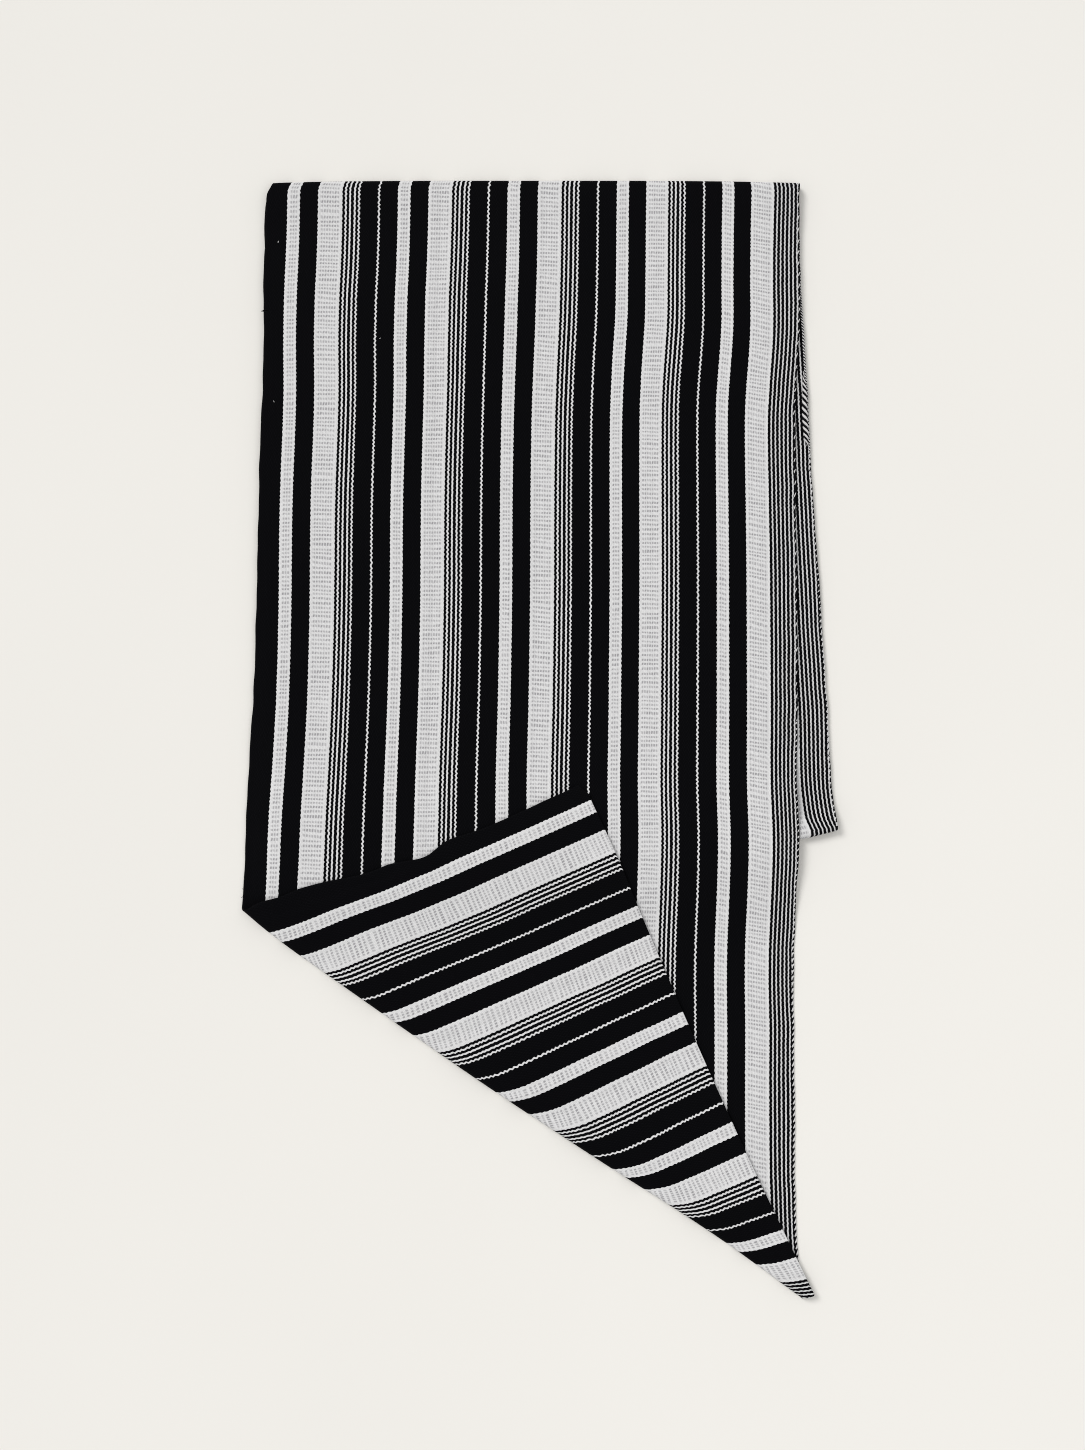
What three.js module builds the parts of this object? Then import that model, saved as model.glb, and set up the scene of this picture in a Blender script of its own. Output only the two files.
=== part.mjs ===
import * as THREE from 'three';

// Danfani cloth: one loom-width length of striped cotton, folded and laid flat with its lower
// left corner turned diagonally up. Millimetres, +X to the right, +Y up the cloth, +Z up.
// "u" runs across the cloth from the left selvedge, "v" along it: 0 at the top fold, positive
// down the front leg, negative down the back leg and on into the hidden under leg.

// ---- the flat cloth ----
const WIDTH = 397;             // selvedge to selvedge
const FRONT_LEFT = 813;        // top fold to the end, along the left selvedge
const FRONT_RIGHT = 820;       // the same along the right selvedge
const BACK_LONG = 495;         // top fold to the back leg's lower fold
const UNDER_LONG = 424;        // lower fold to the hidden end
const THICK = 1.2;             // woven sheet
const HEM_EXTRA = 0.6;         // added thickness of the narrow turned ends
const HEM_DEEP = 10;           // how far a turned end reaches in

// ---- the folds ----
const LAYER_STEP = 2.2;        // middle of one layer to middle of the next
const TOP_Y = 409.3;           // crown of the top fold
const TOP_DROOP = 1.8;         // how far its two ends fall short
const TOP_SKEW = THREE.MathUtils.degToRad(-1.93); // top fold is not quite square to the stripes
const TOP_ROUND = 3.3;         // radius of the top fold
const TURN_LEFT = 551.8;       // v where the diagonal fold leaves the left selvedge
const TURN_RIGHT = 809.8;      // v where it meets the right selvedge
const FLAP_TILT = THREE.MathUtils.degToRad(22);   // lie of the stripes on the turned flap
const TURN_BULGE = 70;         // how far from the fold its outward bow dies away
const FLAP_SPREAD = 26;        // run over which the flap comes down from its fold
const RIDGE_CLEAR = 1.0;       // front leg above the back leg's lower fold
const RAMP_LONG = 86;          // run over which the front leg comes down to the ground
const SIDE_RAMP = 40;          // the same, past the back leg's left selvedge
const FRAME_X = 1.73;          // plan shift that centres the whole on the origin
const FRAME_Y = -1.78;

// Each table is read by a smooth curve through its rows.
// front leg: distance down, left selvedge x, right selvedge x
const FRONT_ROWS = [
  { down: 0, left: -206.0, right: 192.5 },
  { down: 75, left: -207.6, right: 191.6 },
  { down: 110, left: -207.5, right: 191.0 },
  { down: 155, left: -207.4, right: 187.8 },
  { down: 180, left: -207.7, right: 186.8 },
  { down: 245, left: -209.2, right: 186.6 },
  { down: 320, left: -209.4, right: 186.2 },
  { down: 390, left: -211.0, right: 185.8 },
  { down: 450, left: -213.6, right: 185.4 },
  { down: 490, left: -215.2, right: 186.4 },
  { down: 531, left: -216.4, right: 184.4 },
  { down: 600, left: -218.0, right: 181.5 },
  { down: 690, left: -219.5, right: 180.0 },
  { down: 760, left: -220.0, right: 180.4 },
  { down: 822, left: -220.0, right: 182.5 },
];
// back leg: distance down, left selvedge x, right selvedge x
const BACK_ROWS = [
  { down: 0, left: -206.0, right: 192.5 },
  { down: 26, left: -209.0, right: 192.3 },
  { down: 60, left: -206.6, right: 192.7 },
  { down: 170, left: -201.5, right: 197.1 },
  { down: 245, left: -198.0, right: 199.9 },
  { down: 320, left: -194.0, right: 204.2 },
  { down: 392, left: -190.5, right: 207.5 },
  { down: 450, left: -188.0, right: 210.0 },
  { down: 486, left: -186.0, right: 213.5 },
  { down: 520, left: -184.0, right: 214.5 },
];
// radius of the back leg's lower fold across the cloth: pressed under the front leg, puffy where bare;
// sag: how much lower its crown lies than at the two selvedges
const LOWER_ROUND = [
  { part: 0.0, round: 2.3, sag: 0.0 },
  { part: 0.3, round: 2.3, sag: 5.0 },
  { part: 0.6, round: 2.4, sag: 7.5 },
  { part: 0.85, round: 2.5, sag: 8.0 },
  { part: 0.93, round: 2.9, sag: 6.0 },
  { part: 1.0, round: 3.6, sag: 0.0 },
];
// radius of the diagonal fold from the left selvedge to its tip, and how far its crown bows outward
const TURN_ROUND = [
  { part: 0.0, round: 3.3, bow: 0.0 },
  { part: 0.05, round: 3.4, bow: 2.6 },
  { part: 0.12, round: 3.6, bow: 4.2 },
  { part: 0.42, round: 3.8, bow: 4.7 },
  { part: 0.65, round: 3.6, bow: 2.2 },
  { part: 0.85, round: 3.0, bow: -1.2 },
  { part: 1.0, round: 2.2, bow: 0.0 },
];
// slack of the flap: sideways slip of its stripes with the distance from the fold
const FLAP_SLIP = [
  { off: 0, slip: 0 },
  { off: 25, slip: 3 },
  { off: 58, slip: 7 },
  { off: 90, slip: 11 },
  { off: 115, slip: 13.5 },
  { off: 140, slip: 13 },
  { off: 175, slip: 11 },
  { off: 225, slip: 8 },
];
// soft swells of the front leg: centre, lie, length, width, height
const SWELLS = [
  { x: 120, y: 275, lie: 24, long: 120, wide: 26, high: 0.8 },
  { x: -120, y: 190, lie: -70, long: 150, wide: 24, high: 0.5 },
  { x: 40, y: 90, lie: 82, long: 160, wide: 22, high: 0.5 },
  { x: -60, y: 330, lie: 8, long: 140, wide: 20, high: 0.5 },
  { x: 130, y: 20, lie: -78, long: 120, wide: 20, high: 0.6 },
];

// ---- sampling of the sheet: fine in the folds, wide on the flats ----
const COLUMNS = 16;
const LOWER_STEPS = [-14, -6.5, -3.8, -2.85, -1.9, -0.95, 0, 0.95, 1.9, 2.85, 3.8, 5.4, 8, 12, 17, 24];
const TOP_STEPS = [-58, -48, -39, -30, -22, -14, -8, -5.2, -3.9, -2.6, -1.3, 0, 1.3, 2.6, 3.9, 5.2, 8, 14, 21, 30, 40, 50];
const TURN_STEPS = [15, 8.5, 6, 4.5, 3, 1.5, 0, -1.5, -3, -4.5, -6, -8.5, -12, -16.5, -22, -29, -37];
// lines across the front leg between the top fold and the diagonal fold: v at each selvedge, steps to reach it
const FRONT_LINES = [
  { left: 395, right: 408, steps: 11 },
  { left: 470, right: 560, steps: 12 },
  { left: 526, right: 740, steps: 8 },
];
const UNDER_STEPS = 8;
const BACK_STEPS = 10;
const TURN_JOIN = 3;
const FLAP_STEPS = 20;

const FLOOR = THICK / 2;
const HALF_PI = Math.PI / 2;

function smooth(a, b, x) {
  const t = Math.min(1, Math.max(0, (x - a) / (b - a)));
  return t * t * t * (t * (6 * t - 15) + 10);
}

function read(rows, key, column, x) {
  const n = rows.length;
  const X = (i) => rows[i][key];
  const Y = (i) => rows[i][column];
  const slope = (i) => {
    const a = Math.max(0, i - 1);
    const b = Math.min(n - 1, i + 1);
    return (Y(b) - Y(a)) / (X(b) - X(a));
  };
  const c = Math.min(X(n - 1), Math.max(X(0), x));
  let i = 0;
  while (i < n - 2 && c > X(i + 1)) i += 1;
  const h = X(i + 1) - X(i);
  const t = (c - X(i)) / h;
  const t2 = t * t;
  const t3 = t2 * t;
  return (2 * t3 - 3 * t2 + 1) * Y(i) + (t3 - 2 * t2 + t) * h * slope(i)
    + (3 * t2 - 2 * t3) * Y(i + 1) + (t3 - t2) * h * slope(i + 1);
}

// A fold's crown is a half circle. s: length along the sheet from the crown, plus on one side and
// minus on the other. in: plan distance from the crown's outline. lift: height over the circle's middle.
function bend(s, round) {
  const quarter = HALF_PI * round;
  if (Math.abs(s) < quarter) return { in: round * (1 - Math.cos(s / round)), lift: round * Math.sin(s / round) };
  return { in: round + Math.abs(s) - quarter, lift: Math.sign(s) * round };
}
const takeUp = (round) => round * (HALF_PI - 1);

const SKEW_COS = Math.cos(TOP_SKEW);
const SKEW_SIN = Math.sin(TOP_SKEW);
const fromTop = (u, v) => v * SKEW_COS - (u - WIDTH / 2) * SKEW_SIN;
const topLine = (u, s) => (s + (u - WIDTH / 2) * SKEW_SIN) / SKEW_COS;

const TURN_LONG = Math.hypot(WIDTH, TURN_RIGHT - TURN_LEFT);
const TURN_COS = WIDTH / TURN_LONG;
const TURN_SIN = (TURN_RIGHT - TURN_LEFT) / TURN_LONG;
const turnAlong = (u, v) => u * TURN_COS + (v - TURN_LEFT) * TURN_SIN;
const turnOff = (u, v) => u * TURN_SIN - (v - TURN_LEFT) * TURN_COS; // plus on the front leg
const endAt = (u) => FRONT_LEFT + (FRONT_RIGHT - FRONT_LEFT) * (u / WIDTH);

const crownY = (u) => TOP_Y - TOP_DROOP * ((2 * u) / WIDTH - 1) ** 4;

// plan of the back leg's lower fold
function backX(u, down) {
  return read(BACK_ROWS, 'down', 'left', down) * (1 - u / WIDTH) + read(BACK_ROWS, 'down', 'right', down) * (u / WIDTH);
}
const lowerDown = (u) => bend(fromTop(u, -BACK_LONG + takeUp(LOWER_ROUND[1].round)), TOP_ROUND).in;
const LOWER_LEFT = { x: backX(0, lowerDown(0)), y: TOP_Y - lowerDown(0) };
const LOWER_RIGHT = { x: backX(WIDTH, lowerDown(WIDTH)), y: TOP_Y - lowerDown(WIDTH) };
const LOWER_LEAN = Math.atan2(LOWER_RIGHT.y - LOWER_LEFT.y, LOWER_RIGHT.x - LOWER_LEFT.x);
const aboveLower = (x, y) => (y - LOWER_LEFT.y) * Math.cos(LOWER_LEAN) - (x - LOWER_LEFT.x) * Math.sin(LOWER_LEAN);

function swell(x, y) {
  let z = 0;
  for (const s of SWELLS) {
    const a = THREE.MathUtils.degToRad(s.lie);
    const p = (x - s.x) * Math.cos(a) + (y - s.y) * Math.sin(a);
    const q = -(x - s.x) * Math.sin(a) + (y - s.y) * Math.cos(a);
    z += s.high * Math.exp(-((p / s.long) ** 2) - (q / s.wide) ** 2);
  }
  return z;
}

// height of the front leg's middle over the ground
function frontHeight(x, y) {
  const down = TOP_Y - y;
  const above = aboveLower(x, y);
  const left = read(BACK_ROWS, 'down', 'left', down);
  const right = read(BACK_ROWS, 'down', 'right', down);
  const lower = read(LOWER_ROUND, 'part', 'round', (x - left) / (right - left));
  const ridge = 2 * lower + THICK + RIDGE_CLEAR;
  const stack = smooth(-RAMP_LONG, -3, above) * ridge - smooth(6, 66, above) * (ridge - 2 * LAYER_STEP);
  const held = 1 - smooth(3, SIDE_RAMP, left - x);
  const crown = (2 * TOP_ROUND - 2 * LAYER_STEP) * (1 - smooth(TOP_ROUND, 46, down));
  const loose = smooth(12, 60, down) * smooth(-10, 40, above) * held;
  return FLOOR + stack * held + crown + swell(x, y) * loose;
}

function frontPlan(u, v) {
  const d = Math.max(0, v);
  const x = read(FRONT_ROWS, 'down', 'left', d) * (1 - u / WIDTH) + read(FRONT_ROWS, 'down', 'right', d) * (u / WIDTH);
  return { x, y: crownY(u) - bend(fromTop(u, v), TOP_ROUND).in };
}

// where the middle of the sheet lies
function place(u, v) {
  const top = fromTop(u, v);
  if (top < 0) {
    // back leg and under leg
    const round = read(LOWER_ROUND, 'part', 'round', u / WIDTH);
    const crownAt = -BACK_LONG - read(LOWER_ROUND, 'part', 'sag', u / WIDTH);
    const s = v - crownAt;
    const low = bend(s, round);
    const same = s > HALF_PI * round ? v : crownAt + takeUp(round) + low.in;
    const roll = bend(fromTop(u, same), TOP_ROUND);
    const x = backX(u, roll.in);
    const y = crownY(u) - roll.in;
    if (-top < HALF_PI * TOP_ROUND) return new THREE.Vector3(x, y, FLOOR + TOP_ROUND + roll.lift);
    if (s < HALF_PI * round) return new THREE.Vector3(x, y, FLOOR + round + low.lift);
    const onUnder = LAYER_STEP * smooth(22, 56, roll.in);
    const crown = (2 * round - LAYER_STEP) * (1 - smooth(round, round + 22, low.in));
    return new THREE.Vector3(x, y, FLOOR + onUnder + crown);
  }
  // front leg and flap
  const along = turnAlong(u, v);
  const part = along / TURN_LONG;
  const round = read(TURN_ROUND, 'part', 'round', part);
  const s = turnOff(u, v);
  const turn = bend(s, round);
  const bulge = read(TURN_ROUND, 'part', 'bow', part) * (1 - smooth(0, TURN_BULGE, turn.in));
  const off = (s >= HALF_PI * round ? s : takeUp(round) + turn.in) - bulge;
  const p = frontPlan(along * TURN_COS + off * TURN_SIN, TURN_LEFT + along * TURN_SIN - off * TURN_COS);
  if (s < 0) {
    const slip = read(FLAP_SLIP, 'off', 'slip', -s) * (1 - 0.35 * smooth(0, WIDTH, u));
    p.x += slip * Math.sin(FLAP_TILT);
    p.y -= slip * Math.cos(FLAP_TILT);
  }
  if (top < HALF_PI * TOP_ROUND) return new THREE.Vector3(p.x, p.y, FLOOR + TOP_ROUND + bend(top, TOP_ROUND).lift);
  const ground = frontHeight(p.x, p.y);
  if (s >= HALF_PI * round) return new THREE.Vector3(p.x, p.y, ground);
  if (s > -HALF_PI * round) return new THREE.Vector3(p.x, p.y, ground + round - turn.lift);
  const hem = HEM_EXTRA * (1 - smooth(HEM_DEEP, HEM_DEEP + 12, endAt(u) - v));
  const flap = LAYER_STEP + hem + (2 * round - LAYER_STEP) * (1 - smooth(round, round + FLAP_SPREAD, turn.in));
  return new THREE.Vector3(p.x, p.y, ground + flap);
}

// lines across the flat cloth, from the hidden end to the turned corner: both ends of each, in u and v
function crossLines() {
  const lines = [];
  const add = (left, right) => lines.push({ u0: 0, v0: left, u1: WIDTH, v1: right, sag: 0 });
  const hidden = -BACK_LONG - UNDER_LONG;
  const lowerStart = -BACK_LONG + LOWER_STEPS[0];
  add(hidden, hidden);
  add(hidden + HEM_DEEP, hidden + HEM_DEEP);
  for (let i = 1; i < UNDER_STEPS; i += 1) {
    const v = hidden + HEM_DEEP + ((lowerStart - hidden - HEM_DEEP) * i) / UNDER_STEPS;
    add(v, v);
  }
  for (const o of LOWER_STEPS) {
    add(-BACK_LONG + o, -BACK_LONG + o);
    lines[lines.length - 1].sag = 1;
  }
  const backStart = -BACK_LONG + LOWER_STEPS[LOWER_STEPS.length - 1];
  for (let i = 1; i < BACK_STEPS; i += 1) {
    const t = i / BACK_STEPS;
    add(backStart + (topLine(0, TOP_STEPS[0]) - backStart) * t, backStart + (topLine(WIDTH, TOP_STEPS[0]) - backStart) * t);
  }
  for (const o of TOP_STEPS) add(topLine(0, o), topLine(WIDTH, o));
  let last = lines[lines.length - 1];
  for (const f of FRONT_LINES) {
    const from = last;
    for (let i = 1; i <= f.steps; i += 1) {
      const t = i / f.steps;
      add(from.v0 + (f.left - from.v0) * t, from.v1 + (f.right - from.v1) * t);
    }
    last = lines[lines.length - 1];
  }
  const slant = (o) => {
    const left = TURN_LEFT - o / TURN_COS;
    let u1 = WIDTH;
    let v1 = TURN_RIGHT - o / TURN_COS;
    if (v1 > FRONT_RIGHT) {
      const tilt = (FRONT_RIGHT - FRONT_LEFT) / WIDTH;
      u1 = (FRONT_LEFT - left) / (TURN_SIN / TURN_COS - tilt);
      v1 = endAt(u1);
    }
    return { u0: 0, v0: left, u1, v1, sag: 0 };
  };
  const first = slant(TURN_STEPS[0]);
  for (let i = 1; i < TURN_JOIN; i += 1) {
    const t = i / TURN_JOIN;
    add(last.v0 + (first.v0 - last.v0) * t, last.v1 + (first.v1 - last.v1) * t);
  }
  for (const o of TURN_STEPS) lines.push(slant(o));
  const off = TURN_STEPS[TURN_STEPS.length - 1];
  const corner = turnOff(0, FRONT_LEFT) + 2.5;
  for (let i = 1; i <= FLAP_STEPS; i += 1) {
    const t = i / FLAP_STEPS;
    lines.push(slant(off + (corner - off) * t));
  }
  return lines;
}

function sheet() {
  const flat = [];
  const mid = [];
  for (const line of crossLines()) {
    const rowFlat = [];
    const rowMid = [];
    for (let j = 0; j <= COLUMNS; j += 1) {
      const t = j / COLUMNS;
      const u = line.u0 + (line.u1 - line.u0) * t;
      let v = line.v0 + (line.v1 - line.v0) * t;
      v -= line.sag * read(LOWER_ROUND, 'part', 'sag', u / WIDTH);
      rowFlat.push({ u, v });
      rowMid.push(place(u, v));
    }
    flat.push(rowFlat);
    mid.push(rowMid);
  }
  return { flat, mid };
}

function solid() {
  const { flat, mid } = sheet();
  const rows = mid.length;
  const cols = COLUMNS + 1;
  const points = [];
  const across = new THREE.Vector3();
  const along = new THREE.Vector3();
  const normal = new THREE.Vector3();
  const face = [];
  for (let i = 0; i < rows; i += 1) {
    for (let j = 0; j < cols; j += 1) {
      across.subVectors(mid[i][Math.min(cols - 1, j + 1)], mid[i][Math.max(0, j - 1)]);
      along.subVectors(mid[Math.min(rows - 1, i + 1)][j], mid[Math.max(0, i - 1)][j]);
      normal.crossVectors(along, across).normalize();
      const { u, v } = flat[i][j];
      const toEnd = Math.min(endAt(u) - v, v + BACK_LONG + UNDER_LONG);
      const hem = HEM_EXTRA * (1 - smooth(HEM_DEEP * 0.5, HEM_DEEP, toEnd));
      const up = mid[i][j].clone().addScaledVector(normal, THICK / 2 + hem);
      const down = mid[i][j].clone().addScaledVector(normal, -THICK / 2);
      points.push(up, down);
      face.push({ up: points.length - 2, down: points.length - 1 });
    }
  }
  const at = (i, j) => face[i * cols + j];
  const index = [];
  const quad = (a, b, c, d) => index.push(a, b, c, a, c, d);
  for (let i = 0; i < rows - 1; i += 1) {
    for (let j = 0; j < cols - 1; j += 1) {
      const a = at(i, j);
      const b = at(i + 1, j);
      const c = at(i + 1, j + 1);
      const d = at(i, j + 1);
      quad(a.up, b.up, c.up, d.up);
      quad(a.down, d.down, c.down, b.down);
    }
  }
  for (let i = 0; i < rows - 1; i += 1) {
    quad(at(i, 0).up, at(i, 0).down, at(i + 1, 0).down, at(i + 1, 0).up);
    const e = cols - 1;
    quad(at(i + 1, e).up, at(i + 1, e).down, at(i, e).down, at(i, e).up);
  }
  for (let j = 0; j < cols - 1; j += 1) {
    quad(at(0, j + 1).up, at(0, j + 1).down, at(0, j).down, at(0, j).up);
    const e = rows - 1;
    quad(at(e, j).up, at(e, j).down, at(e, j + 1).down, at(e, j + 1).up);
  }
  const position = new Float32Array(points.length * 3);
  points.forEach((p, k) => {
    const z = Math.abs(p.z) < 2e-3 ? 0 : p.z;
    position.set([p.x + FRAME_X, p.y + FRAME_Y, z], k * 3);
  });
  const geometry = new THREE.BufferGeometry();
  geometry.setAttribute('position', new THREE.BufferAttribute(position, 3));
  geometry.setIndex(index);
  geometry.computeVertexNormals();
  return geometry;
}

const cotton = new THREE.MeshStandardMaterial({ color: 0x6b6b6d, roughness: 0.9, metalness: 0 });
const cloth = new THREE.Mesh(solid(), cotton);
cloth.name = 'cloth';

const group = new THREE.Group();
group.name = 'danfani_cloth';
group.add(cloth);
export default group;
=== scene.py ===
import math

import bpy
import numpy as np
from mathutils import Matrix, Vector


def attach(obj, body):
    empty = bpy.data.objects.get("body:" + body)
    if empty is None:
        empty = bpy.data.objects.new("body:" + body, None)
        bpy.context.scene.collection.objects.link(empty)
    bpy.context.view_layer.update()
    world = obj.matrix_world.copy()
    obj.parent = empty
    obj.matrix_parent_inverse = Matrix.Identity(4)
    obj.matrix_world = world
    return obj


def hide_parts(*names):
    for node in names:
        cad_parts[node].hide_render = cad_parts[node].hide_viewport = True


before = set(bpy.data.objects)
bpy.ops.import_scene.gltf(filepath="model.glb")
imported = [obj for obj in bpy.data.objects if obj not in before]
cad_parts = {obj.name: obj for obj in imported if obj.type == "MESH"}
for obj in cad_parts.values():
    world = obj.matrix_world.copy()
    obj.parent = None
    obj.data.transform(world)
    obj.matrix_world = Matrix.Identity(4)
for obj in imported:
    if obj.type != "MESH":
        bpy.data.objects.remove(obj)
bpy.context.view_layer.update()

# Danfani cloth: one loom-width length of striped cotton, folded and laid flat with its lower left
# corner turned diagonally up. Sizes in millimetres until the meshes are made.
# u runs across the cloth from the left selvedge, v along it: 0 at the top fold, plus down the front
# leg, minus down the back leg and on into the hidden under leg.

# ---- the flat cloth and its folds, the same sizes as the solid ----
WIDTH = 397.0
FRONT_LEFT = 813.0
FRONT_RIGHT = 820.0
BACK_LONG = 495.0
UNDER_LONG = 424.0
THICK = 1.2
HEM_EXTRA = 0.6
HEM_DEEP = 10.0
LAYER_STEP = 2.2
TOP_Y = 409.3
TOP_DROOP = 1.8
TOP_SKEW = math.radians(-1.93)
TOP_ROUND = 3.3
TURN_LEFT = 551.8
TURN_RIGHT = 809.8
FLAP_TILT = math.radians(22)
TURN_BULGE = 70.0
FLAP_SPREAD = 26.0
RIDGE_CLEAR = 1.0
RAMP_LONG = 86.0
SIDE_RAMP = 40.0
FRAME_X = 1.73
FRAME_Y = -1.78
FLOOR = THICK / 2
HALF_PI = math.pi / 2

# front leg: distance down, left selvedge x, right selvedge x
FRONT_ROWS = np.array([
    (0, -206.0, 192.5), (75, -207.6, 191.6), (110, -207.5, 191.0), (155, -207.4, 187.8),
    (180, -207.7, 186.8), (245, -209.2, 186.6), (320, -209.4, 186.2), (390, -211.0, 185.8),
    (450, -213.6, 185.4), (490, -215.2, 186.4), (531, -216.4, 184.4), (600, -218.0, 181.5),
    (690, -219.5, 180.0), (760, -220.0, 180.4), (822, -220.0, 182.5)])
# back leg: distance down, left selvedge x, right selvedge x
BACK_ROWS = np.array([
    (0, -206.0, 192.5), (26, -209.0, 192.3), (60, -206.6, 192.7), (170, -201.5, 197.1),
    (245, -198.0, 199.9), (320, -194.0, 204.2), (392, -190.5, 207.5), (450, -188.0, 210.0),
    (486, -186.0, 213.5), (520, -184.0, 214.5)])
# back leg's lower fold: part of the width, radius, sag of its crown
LOWER_ROUND = np.array([
    (0.0, 2.3, 0.0), (0.3, 2.3, 5.0), (0.6, 2.4, 7.5), (0.85, 2.5, 8.0), (0.93, 2.9, 6.0), (1.0, 3.6, 0.0)])
# diagonal fold: part of its length, radius, outward bow
TURN_ROUND = np.array([
    (0.0, 3.3, 0.0), (0.05, 3.4, 2.6), (0.12, 3.6, 4.2), (0.42, 3.8, 4.7), (0.65, 3.6, 2.2),
    (0.85, 3.0, -1.2), (1.0, 2.2, 0.0)])
# flap: distance from the fold, sideways slip
FLAP_SLIP = np.array([
    (0, 0), (25, 3), (58, 7), (90, 11), (115, 13.5), (140, 13), (175, 11), (225, 8)], float)
# soft swells of the front leg: x, y, lie, length, width, height
SWELLS = [
    (120, 275, 24, 120, 26, 0.8), (-120, 190, -70, 150, 24, 0.5), (40, 90, 82, 160, 22, 0.5),
    (-60, 330, 8, 140, 20, 0.5), (130, 20, -78, 120, 20, 0.6)]

# ---- the stripes: one repeat, from its narrow white stripe on ----
REPEAT = 80.9
FIRST_WHITE = 14.9
NARROW = (0.0, 9.0)
WIDE = (22.4, 39.8)
PINS = [(41.6, 42.9), (44.85, 46.1), (48.15, 49.4), (51.4, 52.7)]
HAIRLINE = (66.1, 67.6)
EDGE_PINS = 378.3      # from here to the right selvedge: pin stripes only
PIN_STEP = 3.08
ACROSS = 396.8         # stripes' own width, selvedge to selvedge
SIDE_ROOM = 8.0        # spare room beside them in the flat map
MAP_WIDE = ACROSS + 2 * SIDE_ROOM
ROWS_EVERY = 10 / 3    # two picks
TILE = 200.0           # the weave repeats after this length
# where the stripes of each repeat really lie: narrow white, wide white, pins, hairline
LAID = [
    (14.90, 37.81, 56.08, 82.52), (97.57, 120.48, 138.15, 164.66), (179.78, 202.47, 220.22, 246.42),
    (261.40, 283.30, 299.70, 325.60), (340.10, 361.60, 378.60, None)]
# the pulled weave: how far the stripes lie beside their even places, at these u
SHIFT_AT = np.array([20.0, 80.0, 140.0, 200.0, 260.0, 320.0, 380.0])
# front leg: distance down, shift at each u
FRONT_SHIFT = np.array([
    (10, -0.4, -0.2, 0.0, 0.5, 0.5, 0.5, 0.3), (70, -0.5, -0.5, 0.4, 0.3, 0.3, 0.5, 1.1),
    (100, 0.2, 0.5, 1.2, 1.0, 0.7, 0.5, 1.0), (130, 0.4, 0.7, 1.2, 1.2, 1.5, 1.2, 0.8),
    (160, -0.3, -0.2, 0.8, 1.3, 1.7, 2.0, 1.3), (190, -0.8, -0.5, 0.9, 1.5, 2.0, 2.0, 1.7),
    (280, -0.7, -0.3, 0.8, 1.5, 1.8, 2.0, 1.0), (370, -1.7, -0.8, 0.5, 1.5, 2.0, 2.3, 1.0),
    (430, -2.2, -1.2, 0.3, 1.4, 1.8, 2.3, 1.2), (490, -1.9, -1.3, 0.0, 1.2, 2.0, 2.5, 1.5),
    (530, -2.2, -1.7, -0.4, 0.8, 1.3, 1.4, 0.5), (580, -2.2, -1.7, -0.5, 0.6, 0.9, 1.0, 0.3),
    (625, -2.2, -1.7, -0.5, 0.2, 0.2, 0.1, -0.9), (670, -2.2, -1.7, -0.5, 0.0, -0.2, -0.4, -0.8)])
# flap: distance from the diagonal fold, shift at each u
FLAP_SHIFT = np.array([
    (-4, -4.4, -4.6, -4.4, -4.2, -3.8, -3.6, -1.6), (2, -5.0, -5.3, -5.2, -5.4, -5.2, -5.6, -3.2),
    (10, -5.4, -6.1, -6.3, -7.2, -7.8, -8.8, -5.6),
    (20, -5.0, -5.5, -6.2, -8.0, -9.2, -10.0, -6.6), (40, -3.6, -4.0, -5.0, -6.3, -7.5, -8.3, -6.6),
    (55, -3.1, -3.0, -3.5, -4.3, -5.0, -6.2, -7.0), (70, -2.2, -1.5, -1.5, -2.2, -2.6, -4.0, -5.0),
    (85, -0.4, 0.5, 1.0, 0.5, 0.0, -1.0, -2.0), (100, 1.5, 2.5, 3.2, 3.0, 2.6, 2.0, 1.0),
    (120, 3.7, 4.7, 5.5, 5.4, 5.2, 5.0, 5.0), (140, 4.0, 5.2, 6.2, 6.4, 6.4, 6.4, 6.4),
    (180, 3.2, 4.8, 5.8, 6.0, 6.0, 6.0, 6.0), (215, 2.6, 4.2, 5.0, 5.0, 5.0, 5.0, 5.0)])


def smooth(a, b, x):
    t = np.clip((np.asarray(x, float) - a) / (b - a), 0, 1)
    return t * t * t * (t * (6 * t - 15) + 10)


def read(rows, column, x):
    X, Y = rows[:, 0], rows[:, column]
    slope = np.empty(len(X))
    slope[1:-1] = (Y[2:] - Y[:-2]) / (X[2:] - X[:-2])
    slope[0] = (Y[1] - Y[0]) / (X[1] - X[0])
    slope[-1] = (Y[-1] - Y[-2]) / (X[-1] - X[-2])
    c = np.clip(x, X[0], X[-1])
    i = np.clip(np.searchsorted(X, c, side="left") - 1, 0, len(X) - 2)
    h = X[i + 1] - X[i]
    t = (c - X[i]) / h
    t2, t3 = t * t, t * t * t
    return ((2 * t3 - 3 * t2 + 1) * Y[i] + (t3 - 2 * t2 + t) * h * slope[i]
            + (3 * t2 - 2 * t3) * Y[i + 1] + (t3 - t2) * h * slope[i + 1])


def bend(s, round_):
    a = np.clip(s / round_, -HALF_PI, HALF_PI)
    quarter = HALF_PI * round_
    inside = np.where(np.abs(s) < quarter, round_ * (1 - np.cos(a)), round_ + np.abs(s) - quarter)
    return inside, round_ * np.sin(a)


def take_up(round_):
    return round_ * (HALF_PI - 1)


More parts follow.
